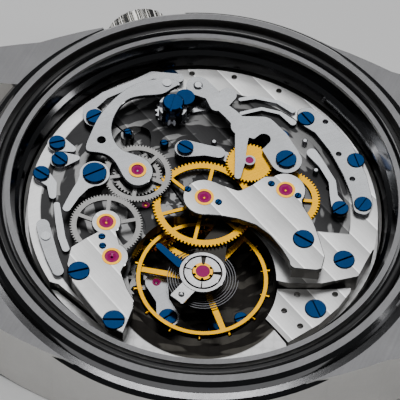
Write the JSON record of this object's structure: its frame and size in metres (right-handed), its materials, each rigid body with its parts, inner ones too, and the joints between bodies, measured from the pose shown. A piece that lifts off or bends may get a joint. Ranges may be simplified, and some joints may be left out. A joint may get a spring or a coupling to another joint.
{
  "type": "mechanical chronograph watch movement",
  "caption": "Hand-wound chronograph movement seen from its bridge side, cased up in a steel case middle with lugs and a fluted crown, its case back off.",
  "frame": {"origin": "the movement's axis in the plane of the dial seat, midway between the two dial-foot holes", "axes": "+Z out through the open case back, +X along the lugs, +Y across them; the crown's stem lies 110 degrees from +X"},
  "size_m": [0.0486, 0.0425, 0.0093],
  "materials": {
    "brushed_case": "brushed flanks and lugs with polished lands",
    "rubber_seal": "smooth black",
    "plate_metal": "rhodium-plated, grained",
    "striped_bridge": "rhodium-plated with diagonal stripes and polished bevels",
    "polished_steel": "mirror polished",
    "black_polish": "black polished",
    "steel_wheel": "circular grained",
    "gilt_wheel": "gilt, circular grained",
    "gold_setting": "polished gold",
    "blued_steel": "heat-blued, polished",
    "ruby": "polished synthetic ruby"
  },
  "bodies": {
    "movement": {"case_middle": "brushed_case", "case_gasket": "rubber_seal", "crown_tube": "polished_steel", "mainplate": "plate_metal", "barrel_bridge": "striped_bridge", "train_bridge": "plate_metal", "upper_train_bridge": "striped_bridge", "lower_bridge": "striped_bridge", "chronograph_bridge": "striped_bridge", "recorder_plate": "polished_steel", "pallet_bridge": "plate_metal", "balance_cock": "black_polish", "intermediate_cock": "polished_steel", "setting_bridge": "polished_steel", "large_screws": "blued_steel", "lever_screws": "blued_steel", "small_screws": "blued_steel", "gold_chatons": "gold_setting", "jewels": "ruby", "hairspring": "polished_steel", "hairspring_stud": "blued_steel", "crown_wheel_core": "polished_steel", "lever_springs": "polished_steel", "steel_pins": "polished_steel"},
    "crown_slide": {"crown_gasket": "rubber_seal"},
    "crown": {"winding_crown": "polished_steel", "winding_stem": "polished_steel"},
    "winding_pinion": {"winding_pinion": "polished_steel"},
    "sliding_pinion": {"sliding_pinion": "polished_steel"},
    "crown_wheel": {"crown_wheel": "polished_steel"},
    "ratchet": {"ratchet_wheel": "polished_steel"},
    "click": {"click": "polished_steel"},
    "setting_lever": {"setting_lever": "polished_steel"},
    "yoke": {"yoke": "polished_steel"},
    "barrel": {"barrel_drum": "gilt_wheel", "mainspring": "polished_steel"},
    "centre": {"centre_wheel": "gilt_wheel", "cannon_pinion": "polished_steel"},
    "minute_wheel": {"minute_wheel": "gilt_wheel"},
    "hour_wheel": {"hour_wheel": "gilt_wheel"},
    "third": {"third_wheel": "gilt_wheel"},
    "fourth": {"fourth_wheel": "gilt_wheel", "driving_wheel": "steel_wheel"},
    "escape": {"escape_wheel": "polished_steel"},
    "pallet": {"pallet_fork": "polished_steel"},
    "balance": {"balance_wheel": "gilt_wheel", "timing_screws": "gold_setting", "balance_staff": "polished_steel"},
    "regulator": {"regulator": "polished_steel"},
    "coupling_lever": {"coupling_lever": "polished_steel", "coupling_chaton": "gold_setting", "coupling_jewel": "ruby"},
    "coupling_wheel": {"coupling_wheel": "steel_wheel"},
    "chronograph": {"chronograph_wheel": "gilt_wheel"},
    "intermediate": {"intermediate_wheel": "gilt_wheel"},
    "recorder": {"minute_recorder_wheel": "gilt_wheel"},
    "operating_lever": {"operating_lever": "polished_steel"},
    "reset_hammer": {"reset_hammer": "polished_steel"},
    "brake_lever": {"brake_lever": "polished_steel"},
    "column_wheel": {"column_wheel": "polished_steel"}
  },
  "joints": [
    {"name": "crown_pull", "type": "slide", "parent": "movement", "child": "crown_slide", "axis": [-0.342, 0.9397, 0], "range_m": [0, 0.0005]},
    {"name": "crown_turn", "type": "hinge", "parent": "crown_slide", "child": "crown", "pos_m": [-0.0053, 0.01457, 0.00179], "axis": [-0.342, 0.9397, 0], "continuous": true},
    {"name": "winding_pinion_turn", "type": "hinge", "parent": "movement", "child": "winding_pinion", "pos_m": [-0.0053, 0.01457, 0.00179], "axis": [-0.342, 0.9397, 0], "continuous": true},
    {"name": "sliding_pinion_turn", "type": "hinge", "parent": "movement", "child": "sliding_pinion", "pos_m": [-0.0053, 0.01457, 0.00179], "axis": [-0.342, 0.9397, 0], "continuous": true},
    {"name": "crown_wheel_turn", "type": "hinge", "parent": "movement", "child": "crown_wheel", "pos_m": [-0.00281, 0.00772, 0.00285], "axis": [0, 0, 1], "continuous": true},
    {"name": "ratchet_turn", "type": "hinge", "parent": "movement", "child": "ratchet", "pos_m": [0.00391, 0.0066, 0.00285], "axis": [0, 0, 1], "continuous": true},
    {"name": "click_swing", "type": "hinge", "parent": "movement", "child": "click", "pos_m": [0.00523, 0.01153, 0.00285], "axis": [0, 0, 1], "range_deg": [0, 4]},
    {"name": "setting_lever_swing", "type": "hinge", "parent": "movement", "child": "setting_lever", "pos_m": [-0.0062, 0.01074, 0.0004], "axis": [0, 0, 1], "range_deg": [0, 13.5]},
    {"name": "yoke_swing", "type": "hinge", "parent": "movement", "child": "yoke", "pos_m": [-0.00153, 0.01246, 0.0004], "axis": [0, 0, 1], "range_deg": [0, 2.2]},
    {"name": "barrel_turn", "type": "hinge", "parent": "movement", "child": "barrel", "pos_m": [0.00391, 0.0066, 0.00055], "axis": [0, 0, 1], "continuous": true},
    {"name": "centre_turn", "type": "hinge", "parent": "movement", "child": "centre", "pos_m": [0, 0, 0.00205], "axis": [0, 0, 1], "continuous": true},
    {"name": "minute_wheel_turn", "type": "hinge", "parent": "movement", "child": "minute_wheel", "pos_m": [0.00381, -0.0022, 0], "axis": [0, 0, 1], "continuous": true},
    {"name": "hour_wheel_turn", "type": "hinge", "parent": "movement", "child": "hour_wheel", "pos_m": [0, 0, 0], "axis": [0, 0, 1], "continuous": true},
    {"name": "third_turn", "type": "hinge", "parent": "movement", "child": "third", "pos_m": [-0.00501, -0.0002, 0.00242], "axis": [0, 0, 1], "continuous": true},
    {"name": "fourth_turn", "type": "hinge", "parent": "movement", "child": "fourth", "pos_m": [-0.00817, -0.00319, 0.00278], "axis": [0, 0, 1], "continuous": true},
    {"name": "escape_turn", "type": "hinge", "parent": "movement", "child": "escape", "pos_m": [-0.00736, -0.00662, 0.00205], "axis": [0, 0, 1], "continuous": true},
    {"name": "pallet_swing", "type": "hinge", "parent": "movement", "child": "pallet", "pos_m": [-0.00347, -0.00724, 0.00205], "axis": [0, 0, 1], "range_deg": [-4, 4]},
    {"name": "balance_swing", "type": "hinge", "parent": "movement", "child": "balance", "pos_m": [0.00039, -0.00696, 0.00365], "axis": [0, 0, 1], "range_deg": [-270, 270]},
    {"name": "regulator_turn", "type": "hinge", "parent": "movement", "child": "regulator", "pos_m": [0.00039, -0.00696, 0.00428], "axis": [0, 0, 1], "range_deg": [-8, 8]},
    {"name": "coupling_lever_swing", "type": "hinge", "parent": "movement", "child": "coupling_lever", "pos_m": [-0.00419, 0.01225, 0.00496], "axis": [0, 0, 1], "range_deg": [-1.5, 0]},
    {"name": "coupling_wheel_turn", "type": "hinge", "parent": "coupling_lever", "child": "coupling_wheel", "pos_m": [-0.00598, 0.00243, 0.0047], "axis": [0, 0, 1], "continuous": true},
    {"name": "chronograph_turn", "type": "hinge", "parent": "movement", "child": "chronograph", "pos_m": [0, 0, 0.00442], "axis": [0, 0, 1], "continuous": true},
    {"name": "intermediate_turn", "type": "hinge", "parent": "movement", "child": "intermediate", "pos_m": [0.00369, 0.00453, 0.0047], "axis": [0, 0, 1], "continuous": true},
    {"name": "recorder_turn", "type": "hinge", "parent": "movement", "child": "recorder", "pos_m": [0.00698, 0.00147, 0.00406], "axis": [0, 0, 1], "continuous": true},
    {"name": "operating_lever_swing", "type": "hinge", "parent": "movement", "child": "operating_lever", "pos_m": [-0.01031, 0.00823, 0.0043], "axis": [0, 0, 1], "range_deg": [-1, 1]},
    {"name": "reset_hammer_swing", "type": "hinge", "parent": "movement", "child": "reset_hammer", "pos_m": [-0.00203, 0.00546, 0.0043], "axis": [0, 0, 1], "range_deg": [0, 3]},
    {"name": "brake_lever_swing", "type": "hinge", "parent": "movement", "child": "brake_lever", "pos_m": [-0.01322, -0.00456, 0.00406], "axis": [0, 0, 1], "range_deg": [-1.5, 1.5]},
    {"name": "column_wheel_turn", "type": "hinge", "parent": "movement", "child": "column_wheel", "pos_m": [-0.00344, 0.0098, 0.00406], "axis": [0, 0, 1], "continuous": true}
  ],
  "couplings": [
    {"joint": "third_turn", "follows": "fourth_turn", "ratio": -0.13333},
    {"joint": "centre_turn", "follows": "fourth_turn", "ratio": 0.016667},
    {"joint": "barrel_turn", "follows": "fourth_turn", "ratio": -0.0027778},
    {"joint": "minute_wheel_turn", "follows": "fourth_turn", "ratio": -0.0055556},
    {"joint": "hour_wheel_turn", "follows": "fourth_turn", "ratio": 0.0013889},
    {"joint": "escape_turn", "follows": "fourth_turn", "ratio": -10},
    {"joint": "coupling_wheel_turn", "follows": "fourth_turn", "ratio": -1.0286},
    {"joint": "chronograph_turn", "follows": "fourth_turn", "ratio": 0.4898},
    {"joint": "winding_pinion_turn", "follows": "crown_turn", "ratio": 1},
    {"joint": "sliding_pinion_turn", "follows": "crown_turn", "ratio": 1},
    {"joint": "crown_wheel_turn", "follows": "crown_turn", "ratio": -0.38889},
    {"joint": "ratchet_turn", "follows": "crown_turn", "ratio": 0.23333},
    {"joint": "setting_lever_swing", "follows": "crown_pull", "rad_per_m": 464.42},
    {"joint": "yoke_swing", "follows": "crown_pull", "rad_per_m": 76.027},
    {"joint": "recorder_turn", "follows": "intermediate_turn", "ratio": -0.46875}
  ]
}
